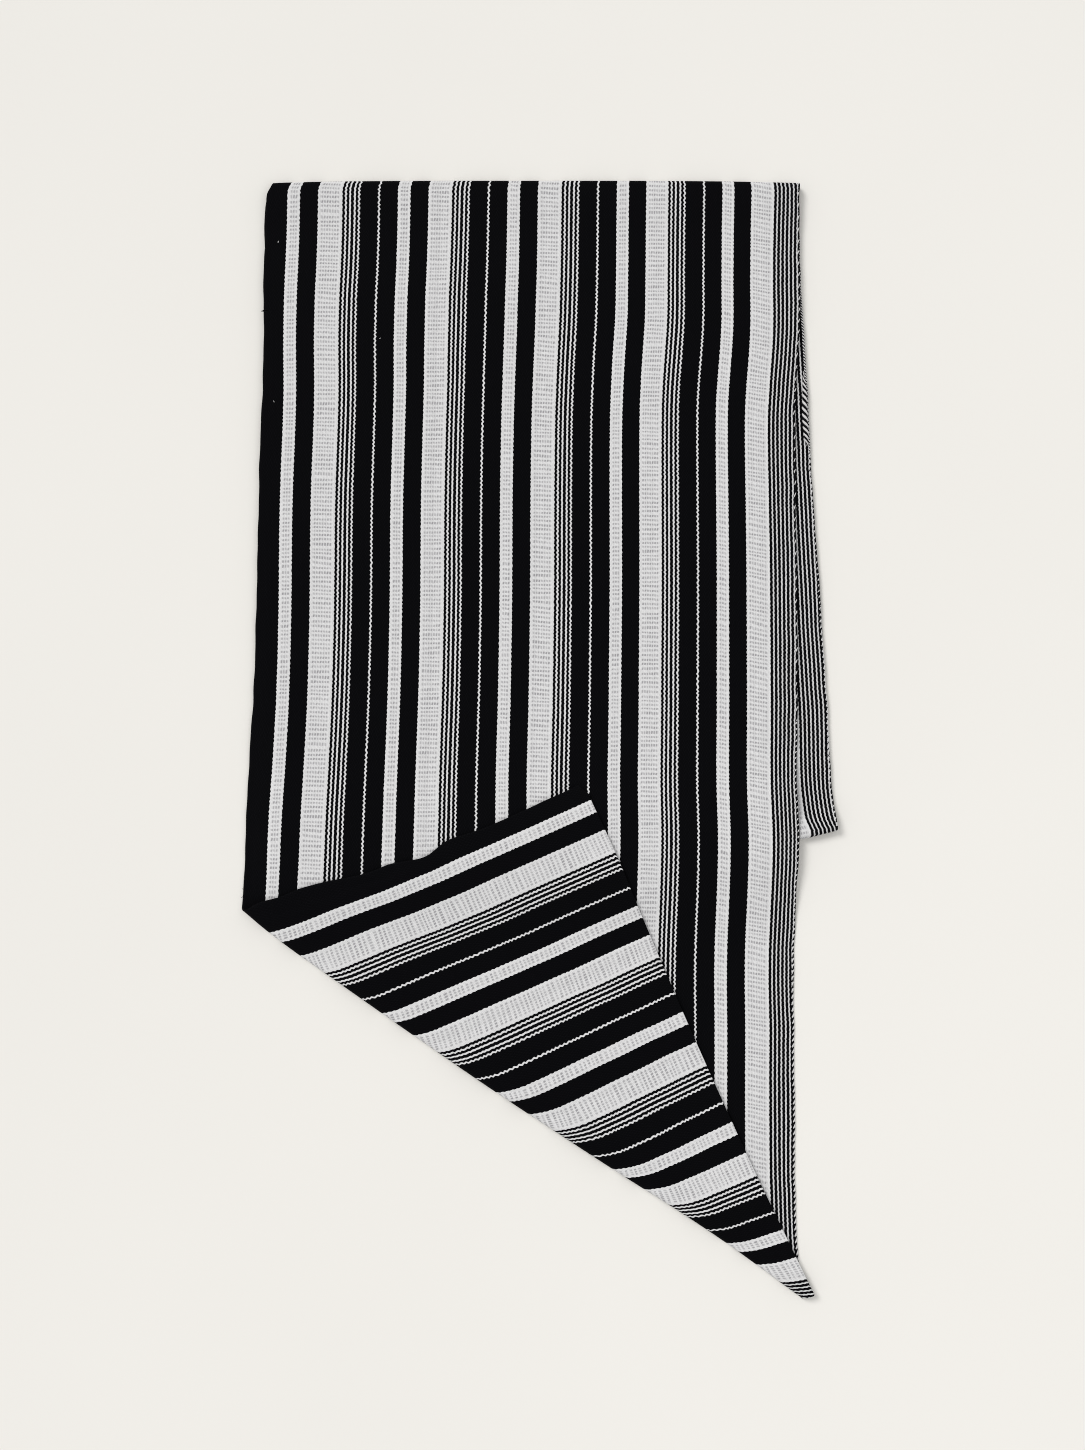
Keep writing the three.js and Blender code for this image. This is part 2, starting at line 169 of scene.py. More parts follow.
SKEW_COS, SKEW_SIN = math.cos(TOP_SKEW), math.sin(TOP_SKEW)
TURN_LONG = math.hypot(WIDTH, TURN_RIGHT - TURN_LEFT)
TURN_COS, TURN_SIN = WIDTH / TURN_LONG, (TURN_RIGHT - TURN_LEFT) / TURN_LONG


def from_top(u, v):
    return v * SKEW_COS - (u - WIDTH / 2) * SKEW_SIN


def top_line(u, s):
    return (s + (u - WIDTH / 2) * SKEW_SIN) / SKEW_COS


def turn_along(u, v):
    return u * TURN_COS + (v - TURN_LEFT) * TURN_SIN


def turn_off(u, v):
    return u * TURN_SIN - (v - TURN_LEFT) * TURN_COS


def end_at(u):
    return FRONT_LEFT + (FRONT_RIGHT - FRONT_LEFT) * (u / WIDTH)


def crown_y(u):
    return TOP_Y - TOP_DROOP * (2 * u / WIDTH - 1) ** 4


def back_x(u, down):
    return read(BACK_ROWS, 1, down) * (1 - u / WIDTH) + read(BACK_ROWS, 2, down) * (u / WIDTH)


def lower_down(u):
    return float(bend(from_top(u, -BACK_LONG + take_up(LOWER_ROUND[1, 1])), TOP_ROUND)[0])


LOWER_LEFT = (float(back_x(0.0, lower_down(0.0))), TOP_Y - lower_down(0.0))
LOWER_RIGHT = (float(back_x(WIDTH, lower_down(WIDTH))), TOP_Y - lower_down(WIDTH))
LOWER_LEAN = math.atan2(LOWER_RIGHT[1] - LOWER_LEFT[1], LOWER_RIGHT[0] - LOWER_LEFT[0])


def above_lower(x, y):
    return (y - LOWER_LEFT[1]) * math.cos(LOWER_LEAN) - (x - LOWER_LEFT[0]) * math.sin(LOWER_LEAN)


def swell(x, y):
    z = 0.0
    for cx, cy, lie, long, wide, high in SWELLS:
        a = math.radians(lie)
        p = (x - cx) * math.cos(a) + (y - cy) * math.sin(a)
        q = -(x - cx) * math.sin(a) + (y - cy) * math.cos(a)
        z = z + high * np.exp(-((p / long) ** 2) - (q / wide) ** 2)
    return z


def front_height(x, y):
    down = TOP_Y - y
    above = above_lower(x, y)
    left, right = read(BACK_ROWS, 1, down), read(BACK_ROWS, 2, down)
    lower = read(LOWER_ROUND, 1, (x - left) / (right - left))
    ridge = 2 * lower + THICK + RIDGE_CLEAR
    stack = smooth(-RAMP_LONG, -3, above) * ridge - smooth(6, 66, above) * (ridge - 2 * LAYER_STEP)
    held = 1 - smooth(3, SIDE_RAMP, left - x)
    crown = (2 * TOP_ROUND - 2 * LAYER_STEP) * (1 - smooth(TOP_ROUND, 46, down))
    loose = smooth(12, 60, down) * smooth(-10, 40, above) * held
    return FLOOR + stack * held + crown + swell(x, y) * loose


def front_plan(u, v):
    d = np.maximum(0, v)
    x = read(FRONT_ROWS, 1, d) * (1 - u / WIDTH) + read(FRONT_ROWS, 2, d) * (u / WIDTH)
    return x, crown_y(u) - bend(from_top(u, v), TOP_ROUND)[0]


def place_back(u, v):
    round_ = read(LOWER_ROUND, 1, u / WIDTH)
    crown_at = -BACK_LONG - read(LOWER_ROUND, 2, u / WIDTH)
    s = v - crown_at
    low_in, low_lift = bend(s, round_)
    same = np.where(s > HALF_PI * round_, v, crown_at + take_up(round_) + low_in)
    roll_in, roll_lift = bend(from_top(u, same), TOP_ROUND)
    x, y = back_x(u, roll_in), crown_y(u) - roll_in
    on_under = LAYER_STEP * smooth(22, 56, roll_in)
    crown = (2 * round_ - LAYER_STEP) * (1 - smooth(0, 22, low_in - round_))
    z = FLOOR + on_under + crown
    z = np.where(s < HALF_PI * round_, FLOOR + round_ + low_lift, z)
    z = np.where(-from_top(u, v) < HALF_PI * TOP_ROUND, FLOOR + TOP_ROUND + roll_lift, z)
    return np.stack([x, y, z], -1)


def place_front(u, v):
    along = turn_along(u, v)
    part = along / TURN_LONG
    round_ = read(TURN_ROUND, 1, part)
    s = turn_off(u, v)
    turn_in, turn_lift = bend(s, round_)
    quarter = HALF_PI * round_
    bulge = read(TURN_ROUND, 2, part) * (1 - smooth(0, TURN_BULGE, turn_in))
    off = np.where(s >= quarter, s, take_up(round_) + turn_in) - bulge
    x, y = front_plan(along * TURN_COS + off * TURN_SIN, TURN_LEFT + along * TURN_SIN - off * TURN_COS)
    slip = np.where(s < 0, read(FLAP_SLIP, 1, -s) * (1 - 0.35 * smooth(0, WIDTH, u)), 0)
    x = x + slip * math.sin(FLAP_TILT)
    y = y - slip * math.cos(FLAP_TILT)
    ground = front_height(x, y)
    hem = HEM_EXTRA * (1 - smooth(HEM_DEEP, HEM_DEEP + 12, end_at(u) - v))
    flap = LAYER_STEP + hem + (2 * round_ - LAYER_STEP) * (1 - smooth(0, FLAP_SPREAD, turn_in - round_))
    z = np.where(s >= quarter, ground, np.where(s > -quarter, ground + round_ - turn_lift, ground + flap))
    top = from_top(u, v)
    z = np.where(top < HALF_PI * TOP_ROUND, FLOOR + TOP_ROUND + bend(top, TOP_ROUND)[1], z)
    return np.stack([x, y, z], -1)


# ---- small unevenness of the real cloth, laid over the folds ----
# soft ridges (+) and troughs (-) of the front leg: from x, y to x, y, width, height
CREASES = [
    (95, 268, 188, 236, 9, 0.55), (60, 292, 190, 262, 14, -0.35), (-200, 118, -120, 96, 10, 0.35),
    (-190, 20, -60, 44, 12, -0.3), (-205, -60, -150, -20, 9, 0.4), (20, -20, 60, 150, 12, 0.3),
    (150, -40, 182, 60, 9, 0.4), (-30, 250, 40, 330, 11, -0.3), (-150, 300, -100, 370, 10, 0.3)]


def creases(x, y):
    z = 0.0
    for x0, y0, x1, y1, wide, high in CREASES:
        long = math.hypot(x1 - x0, y1 - y0)
        ex, ey = (x1 - x0) / long, (y1 - y0) / long
        p = ((x - x0) * ex + (y - y0) * ey) / long
        q = -(x - x0) * ey + (y - y0) * ex
        z = z + high * np.exp(-((q / wide) ** 2)) * smooth(-0.15, 0.25, p) * smooth(-0.15, 0.25, 1 - p)
    return z


def ripple(x, y):
    return (0.5 * np.sin(x / 23 + 1.3 * np.sin(y / 61)) * np.sin(y / 37 + 0.8)
            + 0.3 * np.sin(x / 11.5 - y / 29 + 2.1) + 0.35 * np.sin(y / 17.5 + 1.1 * np.sin(x / 47) + 0.4))


# the flap's dark selvedge lies unevenly: distance from the diagonal fold along it, how far it stands out
FLAP_LIP = np.array([
    (0, 0), (8, 1.2), (17, 2.7), (31, 2.3), (45, 3.7), (64, 2.6), (79, 0.8), (94, 0.0), (110, 1.4), (120, 0.5),
    (133, -1.2), (140, -0.7), (147, 1.8), (155, 3.8), (166, 3.0), (182, 1.2), (205, 0.6), (262, 0)], float)


def surface(u, v):
    """Middle of the sheet, in the part's frame."""
    u, v = np.broadcast_arrays(np.asarray(u, float), np.asarray(v, float))
    top = from_top(u, v)
    p = np.where((top < 0)[..., None], place_back(u, v), place_front(u, v))
    x, y = p[..., 0], p[..., 1]
    front = smooth(10, 45, top) * smooth(2, 40, turn_off(u, v))
    flap = smooth(6, 60, -turn_off(u, v)) * (top > 0)
    rest = smooth(0, 70, above_lower(x, y))
    lift = front * rest * (creases(x, y) + 0.16 * ripple(x, y)) + flap * 0.14 * (1 + ripple(x + 31, y - 17))
    # hand-woven edges are never quite straight
    edge = (0.45 * np.sin(v / 7.9 + 1.7 * np.sin(v / 31)) + 0.55 * np.sin(v / 19.3 + 0.6) + 0.25 * np.sin(v / 3.7))
    near_left, near_right = np.exp(-u / 9.0), np.exp(-(WIDTH - u) / 9.0)
    p = p.copy()
    # the top fold's left corner is rounded, and the right selvedge drawn in beside the lower fold
    corner = 3.8 * (1 - smooth(0, 14, np.abs(top))) * np.exp(-u / 10.0)
    drawn = 1.6 * smooth(395, 440, v) * (1 - smooth(560, 640, v))
    p[..., 0] += 0.45 * edge * (near_left - near_right) + corner - drawn * near_right + FRAME_X
    p[..., 1] += FRAME_Y
    lip = read(FLAP_LIP, 1, v - TURN_LEFT) * np.exp(-((u / 6.5) ** 2)) * smooth(2, 10, -turn_off(u, v)) * (v > TURN_LEFT)
    p[..., 0] -= lip * math.sin(FLAP_TILT)
    p[..., 1] += lip * math.cos(FLAP_TILT)
    tuck = np.exp(-(((u - 7.0) / 2.6) ** 2)) * smooth(4, 16, v - TURN_LEFT) * (1 - smooth(96, 128, v - TURN_LEFT))
    p[..., 2] += lift - 0.45 * tuck
    return p


def facing(u, v):
    """Directions down the cloth, across it, and out of its face."""
    d = 0.05
    down = surface(u, v + d) - surface(u, v - d)
    over = surface(np.minimum(u + d, WIDTH), v) - surface(np.maximum(u - d, 0), v)
    down /= np.linalg.norm(down, axis=-1, keepdims=True)
    over /= np.linalg.norm(over, axis=-1, keepdims=True)
    out = np.cross(down, over)
    out /= np.linalg.norm(out, axis=-1, keepdims=True)
    return down, over, out


# ---- sampling ----
COLUMNS = 98


def cross_lines():
    lines = []

    def add(left, right, sag=0.0):
        lines.append((0.0, left, WIDTH, right, sag))

    hidden = -BACK_LONG - UNDER_LONG
    for o in (0, 3, 6, 8, 10):
        add(hidden + o, hidden + o)
    low = [-24, -19, -14, -10.5, -8, *np.arange(-6.4, 6.5, 0.64), 7.6, 9, 11, 13.5, 16.5, 20, 24]
    start = -BACK_LONG + low[0]
    for t in np.linspace(0, 1, 46)[1:-1]:
        v = hidden + 10 + (start - hidden - 10) * t
        add(v, v)
    for o in low:
        add(-BACK_LONG + o, -BACK_LONG + o, 1.0)
    tops = [-58, -52, -46, -40, -34, -28, -23, -18, -14, -11, -9, -7.6, *np.arange(-6.5, 6.6, 0.65),
            7.6, 9, 11, 14, 17.5, 21.5, 26, 31, 36, 41, 46, 50]
    start = -BACK_LONG + low[-1]
    for t in np.linspace(0, 1, 52)[1:-1]:
        add(start + (top_line(0, tops[0]) - start) * t, start + (top_line(WIDTH, tops[0]) - start) * t)
    for o in tops:
        add(top_line(0, o), top_line(WIDTH, o))
    for left, right, steps in ((395, 408, 98), (470, 560, 40), (526, 740, 42)):
        _, a, _, b, _ = lines[-1]
        for i in range(1, steps + 1):
            add(a + (left - a) * i / steps, b + (right - b) * i / steps)

    def slant(o):
        left = TURN_LEFT - o / TURN_COS
        u1, v1 = WIDTH, TURN_RIGHT - o / TURN_COS
        if v1 > FRONT_RIGHT:
            u1 = (FRONT_LEFT - left) / (TURN_SIN / TURN_COS - (FRONT_RIGHT - FRONT_LEFT) / WIDTH)
            v1 = end_at(u1)
        return (0.0, left, u1, v1, 0.0)

    turns = [15, 12.5, 10.5, 9, 7.8, *np.arange(6.8, -6.9, -0.68), -7.8, -9, -10.5, -12.5, -15, -18, -21, -24.5, -28, -32]
    _, a, _, b, _ = lines[-1]
    first = slant(turns[0])
    for i in range(1, 8):
        add(a + (first[1] - a) * i / 8, b + (first[3] - b) * i / 8)
    lines.extend(slant(o) for o in turns)
    corner = turn_off(0, FRONT_LEFT) + 4
    for i in range(1, 59):
        lines.append(slant(turns[-1] + (corner - turns[-1]) * i / 58))
    return lines


def stripe_at(u):
    """Stripe coordinate: the measured stripes moved onto even repeats."""
    us, ss = [0.0], [0.0]
    for k, row in enumerate(LAID):
        for at, std in zip(row, (NARROW[0], WIDE[0], 39.8, HAIRLINE[0])):
            if at is not None:
                us.append(at)
                ss.append(FIRST_WHITE + REPEAT * k + std)
    us.append(WIDTH)
    ss.append(ACROSS)
    return np.interp(u, us, ss)


def beside(rows, key, u):
    columns = np.stack([read(rows, k + 1, key) for k in range(len(SHIFT_AT))], -1)
    i = np.clip(np.searchsorted(SHIFT_AT, u) - 1, 0, len(SHIFT_AT) - 2)
    t = np.clip((u - SHIFT_AT[i]) / (SHIFT_AT[i + 1] - SHIFT_AT[i]), 0, 1)
    pick = lambda k: np.take_along_axis(columns, k[..., None], -1)[..., 0]
    return pick(i) * (1 - t) + pick(i + 1) * t


def stripe_place(u, v):
    """Stripe coordinate with the pull of the weave; under the flap the one pull passes into the other."""
    along, off = turn_along(u, v), turn_off(u, v)
    deep = np.minimum((end_at(u) - TURN_LEFT - along * TURN_SIN) / TURN_COS, along * TURN_COS / TURN_SIN)
    turned = 1 - smooth(0, np.maximum(10, 0.8 * deep), off)
    front = beside(FRONT_SHIFT, v, u) - (2.4 - 3.4 * u / WIDTH) * (1 - smooth(0, 10, from_top(u, v)))
    shift = front * (1 - turned) + beside(FLAP_SHIFT, -off, u) * turned
    # the back leg's stripes hook outwards at its lower fold
    low = v + BACK_LONG
    back = 2.2 * smooth(200, 380, -v) + 1.6 * smooth(400, 470, -v) - 3.0 * (1 - smooth(-2, 13, np.abs(low)))
    back = back * smooth(300, 380, u)
    return stripe_at(u) + np.where(v < -60, back, shift * smooth(-60, 0, from_top(u, v)))


def make_sheet(name):
    lines = np.array(cross_lines())
    t = np.linspace(0, 1, COLUMNS + 1)
    t = t - 0.45 * np.sin(2 * np.pi * t) / (2 * np.pi)
    U = lines[:, :1] + (lines[:, 2:3] - lines[:, :1]) * t
    V = lines[:, 1:2] + (lines[:, 3:4] - lines[:, 1:2]) * t
    V = V - lines[:, 4:5] * read(LOWER_ROUND, 2, U / WIDTH)
    P = surface(U, V)
    R, C = U.shape
    along = np.empty_like(P)
    along[1:-1], along[0], along[-1] = P[2:] - P[:-2], P[1] - P[0], P[-1] - P[-2]
    over = np.empty_like(P)
    over[:, 1:-1], over[:, 0], over[:, -1] = P[:, 2:] - P[:, :-2], P[:, 1] - P[:, 0], P[:, -1] - P[:, -2]
    out = np.cross(along, over)
    out /= np.linalg.norm(out, axis=-1, keepdims=True)
    hem = 1 - smooth(6.0, 7.6, end_at(U) - V)
    hidden_hem = 1 - smooth(6.0, 7.6, V + BACK_LONG + UNDER_LONG)
    up = P + out * (THICK / 2 + 0.1 * hem + 0.4 * hidden_hem)[..., None]
    under = P - out * (THICK / 2 + 0.4 * hem)[..., None]
    idx = np.arange(R * C).reshape(R, C)
    n = R * C
    # rim: once round the sheet
    ring = np.concatenate([idx[:-1, 0], idx[-1, :-1], idx[:0:-1, -1], idx[0, :0:-1]])
    along_n = along / np.linalg.norm(along, axis=-1, keepdims=True)
    over_n = over / np.linalg.norm(over, axis=-1, keepdims=True)
    away = np.zeros_like(P)
    away[:, 0] -= over_n[:, 0]
    away[:, -1] += over_n[:, -1]
    away[0] -= along_n[0]
    away[-1] += along_n[-1]
    away = away.reshape(-1, 3)[ring]
    away /= np.linalg.norm(away, axis=-1, keepdims=True)
    u3, d3 = up.reshape(-1, 3), under.reshape(-1, 3)
    mid, half = (u3[ring] + d3[ring]) / 2, (u3[ring] - d3[ring]) / 2
    size = np.linalg.norm(half, axis=-1, keepdims=True)
    rings = [mid + half * math.sin(a) + away * size * math.cos(a) * 0.9 for a in (math.pi / 4, 0, -math.pi / 4)]
    verts = np.concatenate([u3, d3, *rings]) * 0.001
    m = len(ring)
    chain = [ring, 2 * n + np.arange(m), 2 * n + m + np.arange(m), 2 * n + 2 * m + np.arange(m), n + ring]
    nxt = np.roll(np.arange(m), -1)
    rim = np.concatenate([np.stack([a, b, b[nxt], a[nxt]], -1) for a, b in zip(chain[:-1], chain[1:])])
    a, b, c, d = idx[:-1, :-1], idx[1:, :-1], idx[1:, 1:], idx[:-1, 1:]
    up_q = np.stack([a, b, c, d], -1)
    down_q = np.stack([a, d, c, b], -1).reshape(-1, 4) + n
    front_rows = (lines[:-1, 1] > 20) & (lines[:-1, 1] < 380)
    up_q = np.concatenate([up_q[~front_rows].reshape(-1, 4), up_q[front_rows].reshape(-1, 4)])
    faces = np.concatenate([down_q, rim, up_q])
    S = stripe_place(U, V)
    flat = np.stack([(S + SIDE_ROOM) / MAP_WIDE, V / TILE], -1).reshape(-1, 2)
    flat = np.concatenate([flat, flat, flat[ring], flat[ring], flat[ring]])
    ob = mesh_object(name, verts, faces)
    layer = ob.data.uv_layers.new(name="OFBake")
    layer.data.foreach_set("uv", flat[faces.ravel()].astype(np.float32).ravel())
    ob.data.set_sharp_from_angle(angle=math.radians(50))
    return ob


def mesh_object(name, verts, faces):
    me = bpy.data.meshes.new(name)
    me.vertices.add(len(verts))
    me.vertices.foreach_set("co", np.asarray(verts, np.float32).ravel())
    faces = np.asarray(faces, np.int32)
    k = faces.shape[1]
    me.loops.add(faces.size)
    me.loops.foreach_set("vertex_index", faces.ravel())
    me.polygons.add(len(faces))
    me.polygons.foreach_set("loop_start", np.arange(0, faces.size, k, dtype=np.int32))
    me.polygons.foreach_set("loop_total", np.full(len(faces), k, np.int32))
    me.update(calc_edges=True)
    me.validate()
    me.polygons.foreach_set("use_smooth", np.ones(len(me.polygons), bool))
    ob = bpy.data.objects.new(name, me)
    bpy.context.scene.collection.objects.link(ob)
    return ob


def tube(path, radius, sides):
    """Closed round strand along a path, in millimetres: vertices and faces (quads; the ends are folded shut)."""
    path = np.asarray(path)
    n = len(path)
    radius = np.broadcast_to(np.asarray(radius, float), (n,)).copy()
    tangent = np.gradient(path, axis=0)
    tangent /= np.linalg.norm(tangent, axis=1, keepdims=True)
    side = np.cross(tangent, (0.3, 0.2, 0.93))
    side /= np.linalg.norm(side, axis=1, keepdims=True)
    other = np.cross(tangent, side)
    a = np.linspace(0, 2 * np.pi, sides, endpoint=False)
    rings = (path[:, None] + radius[:, None, None] * (np.cos(a)[None, :, None] * side[:, None] + np.sin(a)[None, :, None] * other[:, None]))
    caps = np.stack([path[0] - tangent[0] * radius[0] * 0.7, path[-1] + tangent[-1] * radius[-1] * 0.7])
    verts = np.concatenate([rings.reshape(-1, 3), caps])
    i = np.arange((n - 1) * sides).reshape(n - 1, sides)
    j = np.roll(i, -1, axis=1)
    quads = np.stack([i, j, j + sides, i + sides], -1).reshape(-1, 4)
    k = np.arange(sides)
    first = np.stack([np.full(sides, n * sides), np.roll(k, -1), k], -1)
    last = np.stack([np.full(sides, n * sides + 1), (n - 1) * sides + k, (n - 1) * sides + np.roll(k, -1)], -1)
    return verts, quads, np.concatenate([first, last])


def strands_object(name, strands, materials):
    """Several strands joined into one mesh; each is (vertices, quads, triangles, slot)."""
    V, F, M, base = [], [], [], 0
    for verts, quads, tris, slot in strands:
        V.append(verts)
        F.extend((quads + base).tolist())
        F.extend((tris + base).tolist())
        M.extend([slot] * (len(quads) + len(tris)))
        base += len(verts)
    me = bpy.data.meshes.new(name)
    me.from_pydata((np.concatenate(V) * 0.001).tolist(), [], F)
    me.validate()
    me.polygons.foreach_set("material_index", np.array(M, np.int32))
    me.polygons.foreach_set("use_smooth", np.ones(len(me.polygons), bool))
    ob = bpy.data.objects.new(name, me)
    bpy.context.scene.collection.objects.link(ob)
    for m in materials:
        me.materials.append(m)
    return ob


# ---- materials ----
class Graph:
    def __init__(self, name):
        self.material = bpy.data.materials.new(name)
        self.material.use_nodes = True
        self.tree = self.material.node_tree
        self.tree.nodes.clear()
        self.output = self.tree.nodes.new("ShaderNodeOutputMaterial")
        self.shader = self.tree.nodes.new("ShaderNodeBsdfPrincipled")
        self.tree.links.new(self.shader.outputs["BSDF"], self.output.inputs["Surface"])

    def node(self, kind, **props):
        n = self.tree.nodes.new(kind)
        for k, x in props.items():
            setattr(n, k, x)
        return n

    def put(self, socket, x):
        if isinstance(x, bpy.types.NodeSocket):
            self.tree.links.new(x, socket)
        else:
            socket.default_value = x

    def math(self, op, a, b=None, c=None, clamp=False):
        n = self.node("ShaderNodeMath", operation=op, use_clamp=clamp)
        for socket, x in zip(n.inputs, (a, b, c)):
            if x is not None:
                self.put(socket, x)
        return n.outputs[0]

    def step(self, x, low, high):
        n = self.node("ShaderNodeMapRange", interpolation_type="SMOOTHSTEP")
        for socket, value in zip(n.inputs, (x, low, high, 0.0, 1.0)):
            self.put(socket, value)
        return n.outputs[0]

    def span(self, x, a, b, c, d):
        n = self.node("ShaderNodeMapRange", clamp=True)
        for socket, value in zip(n.inputs, (x, a, b, c, d)):
            self.put(socket, value)
        return n.outputs[0]

    def bands(self, x, stops):
        n = self.node("ShaderNodeValToRGB")
        ramp = n.color_ramp
        ramp.interpolation = "CONSTANT"
        while len(ramp.elements) > 1:
            ramp.elements.remove(ramp.elements[-1])
        ramp.elements[0].position = stops[0][0]
        ramp.elements[0].color = (stops[0][1],) * 3 + (1,)
        for at, value in stops[1:]:
            ramp.elements.new(at).color = (value,) * 3 + (1,)
        self.put(n.inputs[0], x)
        return n.outputs[0]

    def mix(self, factor, a, b):
        n = self.node("ShaderNodeMix", data_type="RGBA")
        self.put(n.inputs["Factor"], factor)
        for socket, x in ((n.inputs[6], a), (n.inputs[7], b)):
            self.put(socket, x if isinstance(x, bpy.types.NodeSocket) else (*x, 1))
        return n.outputs[2]

    def vector(self, x, y, z):
        n = self.node("ShaderNodeCombineXYZ")
        for socket, value in zip(n.inputs, (x, y, z)):
            self.put(socket, value)
        return n.outputs[0]

    def noise(self, vector, scale, detail=2.0, rough=0.5):
        n = self.node("ShaderNodeTexNoise")
        self.put(n.inputs["Vector"], vector)
        self.put(n.inputs["Scale"], scale)
        self.put(n.inputs["Detail"], detail)
        self.put(n.inputs["Roughness"], rough)
        return n.outputs[0]

    def chance(self, vector):
        n = self.node("ShaderNodeTexWhiteNoise", noise_dimensions="3D")
        self.put(n.inputs["Vector"], vector)
        return n.outputs["Value"]

    def bump(self, height, strength, distance):
        n = self.node("ShaderNodeBump")
        n.inputs["Strength"].default_value = strength
        n.inputs["Distance"].default_value = distance
        self.put(n.inputs["Height"], height)
        self.tree.links.new(n.outputs[0], self.shader.inputs["Normal"])

    def finish(self, colour, rough, specular, sheen):
        s = self.shader
        self.put(s.inputs["Base Color"], colour)
        self.put(s.inputs["Roughness"], rough)
        s.inputs["Specular IOR Level"].default_value = specular
        s.inputs["Sheen Weight"].default_value = sheen
        s.inputs["Sheen Roughness"].default_value = 0.45
        return self.material


WHITE = (0.735, 0.735, 0.742)
BLACK = (0.0020, 0.0020, 0.0026)
WEFT = (0.32, 0.315, 0.33)


def striped_cotton():
    g = Graph("striped_cotton")
    m = g.math
    where = g.node("ShaderNodeSeparateXYZ")
    g.put(where.inputs[0], g.node("ShaderNodeUVMap", uv_map="OFBake").outputs[0])
    s = m("MULTIPLY_ADD", where.outputs[0], MAP_WIDE, -SIDE_ROOM)
    v = m("MULTIPLY", where.outputs[1], TILE)
    # round the tile, so that every noise repeats with it
    turn = m("MULTIPLY", v, 2 * math.pi / TILE)
    ring = TILE / (2 * math.pi)
    round_x, round_y = m("MULTIPLY", m("COSINE", turn), ring), m("MULTIPLY", m("SINE", turn), ring)
    loop = g.vector(s, round_x, round_y)
    slow = g.vector(m("MULTIPLY", s, 0.15), round_x, round_y)
    # rows of the weave: two picks each, unevenly beaten and a little slanted towards the right selvedge
    lag = m("MULTIPLY_ADD", m("SINE", m("MULTIPLY", s, 0.047)), 0.7,
            m("MULTIPLY", m("MAXIMUM", m("SUBTRACT", s, 330.0), 0.0), -0.15))
    beat = m("MULTIPLY_ADD", g.noise(slow, 0.055, 1), 6.0, m("MULTIPLY", g.noise(slow, 0.24, 1), 2.0))
    rows = m("DIVIDE", m("ADD", m("ADD", v, lag), beat), ROWS_EVERY)
    row = m("FRACT", rows)
    row_id = m("FLOORED_MODULO", m("FLOOR", rows), round(TILE / ROWS_EVERY))
    swing = m("SINE", m("MULTIPLY", row, 2 * math.pi))
    # stripe borders zigzag from pick to pick
    place = m("FRACT", m("DIVIDE", m("SUBTRACT", s, FIRST_WHITE), REPEAT))
    reach = g.bands(place, [(x / REPEAT, a) for x, a in (
        (0, 0.20), (39.9, 0.30), (43.8, 0.14), (47.1, 0.18), (50.4, 0.38), (54.0, 0.20), (64.5, 0.38), (69.5, 0.20))])
    in_pins = m("GREATER_THAN", s, EDGE_PINS - 0.8)
    reach = m("MULTIPLY_ADD", m("SUBTRACT", 0.14, reach), in_pins, reach)
    fray = m("MULTIPLY", m("SUBTRACT", g.noise(loop, 0.8, 2), 0.5), 0.6)
    s2 = m("ADD", m("MULTIPLY_ADD", swing, reach, s), fray)
    place2 = m("FRACT", m("DIVIDE", m("SUBTRACT", s2, FIRST_WHITE), REPEAT))
    stops = [(NARROW[0], 1), (NARROW[1], 0), (WIDE[0], 1), (WIDE[1], 0)]
    for a, b in PINS:
        stops += [(a, 1), (b, 0)]
    stops += [(HAIRLINE[0], 1), (HAIRLINE[1], 0)]
    body = g.bands(place2, [(x / REPEAT, w) for x, w in stops])
    pins = m("GREATER_THAN", m("FRACT", m("DIVIDE", m("SUBTRACT", s2, EDGE_PINS), PIN_STEP)), 0.65)
    edge = m("GREATER_THAN", s2, EDGE_PINS)
    white = m("MULTIPLY_ADD", m("SUBTRACT", pins, body), edge, body)
    white = m("MULTIPLY", white, m("GREATER_THAN", s2, 4.0))
    # dark weft seen between the warp threads of the broad white stripes
    broad = g.bands(place, [(x / REPEAT, a) for x, a in (
        (0, 0), (NARROW[0] + 1.5, 1), (NARROW[1] - 1.5, 0), (WIDE[0] + 1.4, 1), (WIDE[1] - 1.9, 0))])
    broad = m("MULTIPLY", broad, m("SUBTRACT", 1.0, in_pins))
    cols = m("DIVIDE", s, 1.88)
    luck = g.chance(g.vector(m("FLOOR", cols), row_id, 3.0))
    heavy = g.chance(g.vector(m("FLOOR", m("DIVIDE", s, 26.0)), row_id, 9.0))
    lean = m("MULTIPLY", m("SUBTRACT", luck, 0.45), m("MULTIPLY", m("SUBTRACT", row, 0.5), 0.75))

    def dashes(c, r, wide, long):
        across = m("ABSOLUTE", m("SUBTRACT", m("FRACT", c), 0.5))
        down = m("ABSOLUTE", m("SUBTRACT", m("FRACT", r), 0.5))
        return m("MULTIPLY", g.step(across, wide + 0.17, wide - 0.15), g.step(down, long + 0.10, long - 0.10))

    force = m("MULTIPLY_ADD", luck, 0.34, m("MULTIPLY_ADD", heavy, 0.34, 0.45))
    dash = m("MULTIPLY", dashes(m("ADD", cols, lean), rows, 0.31, 0.25), force)
    dash = m("MULTIPLY", dash, broad, clamp=True)
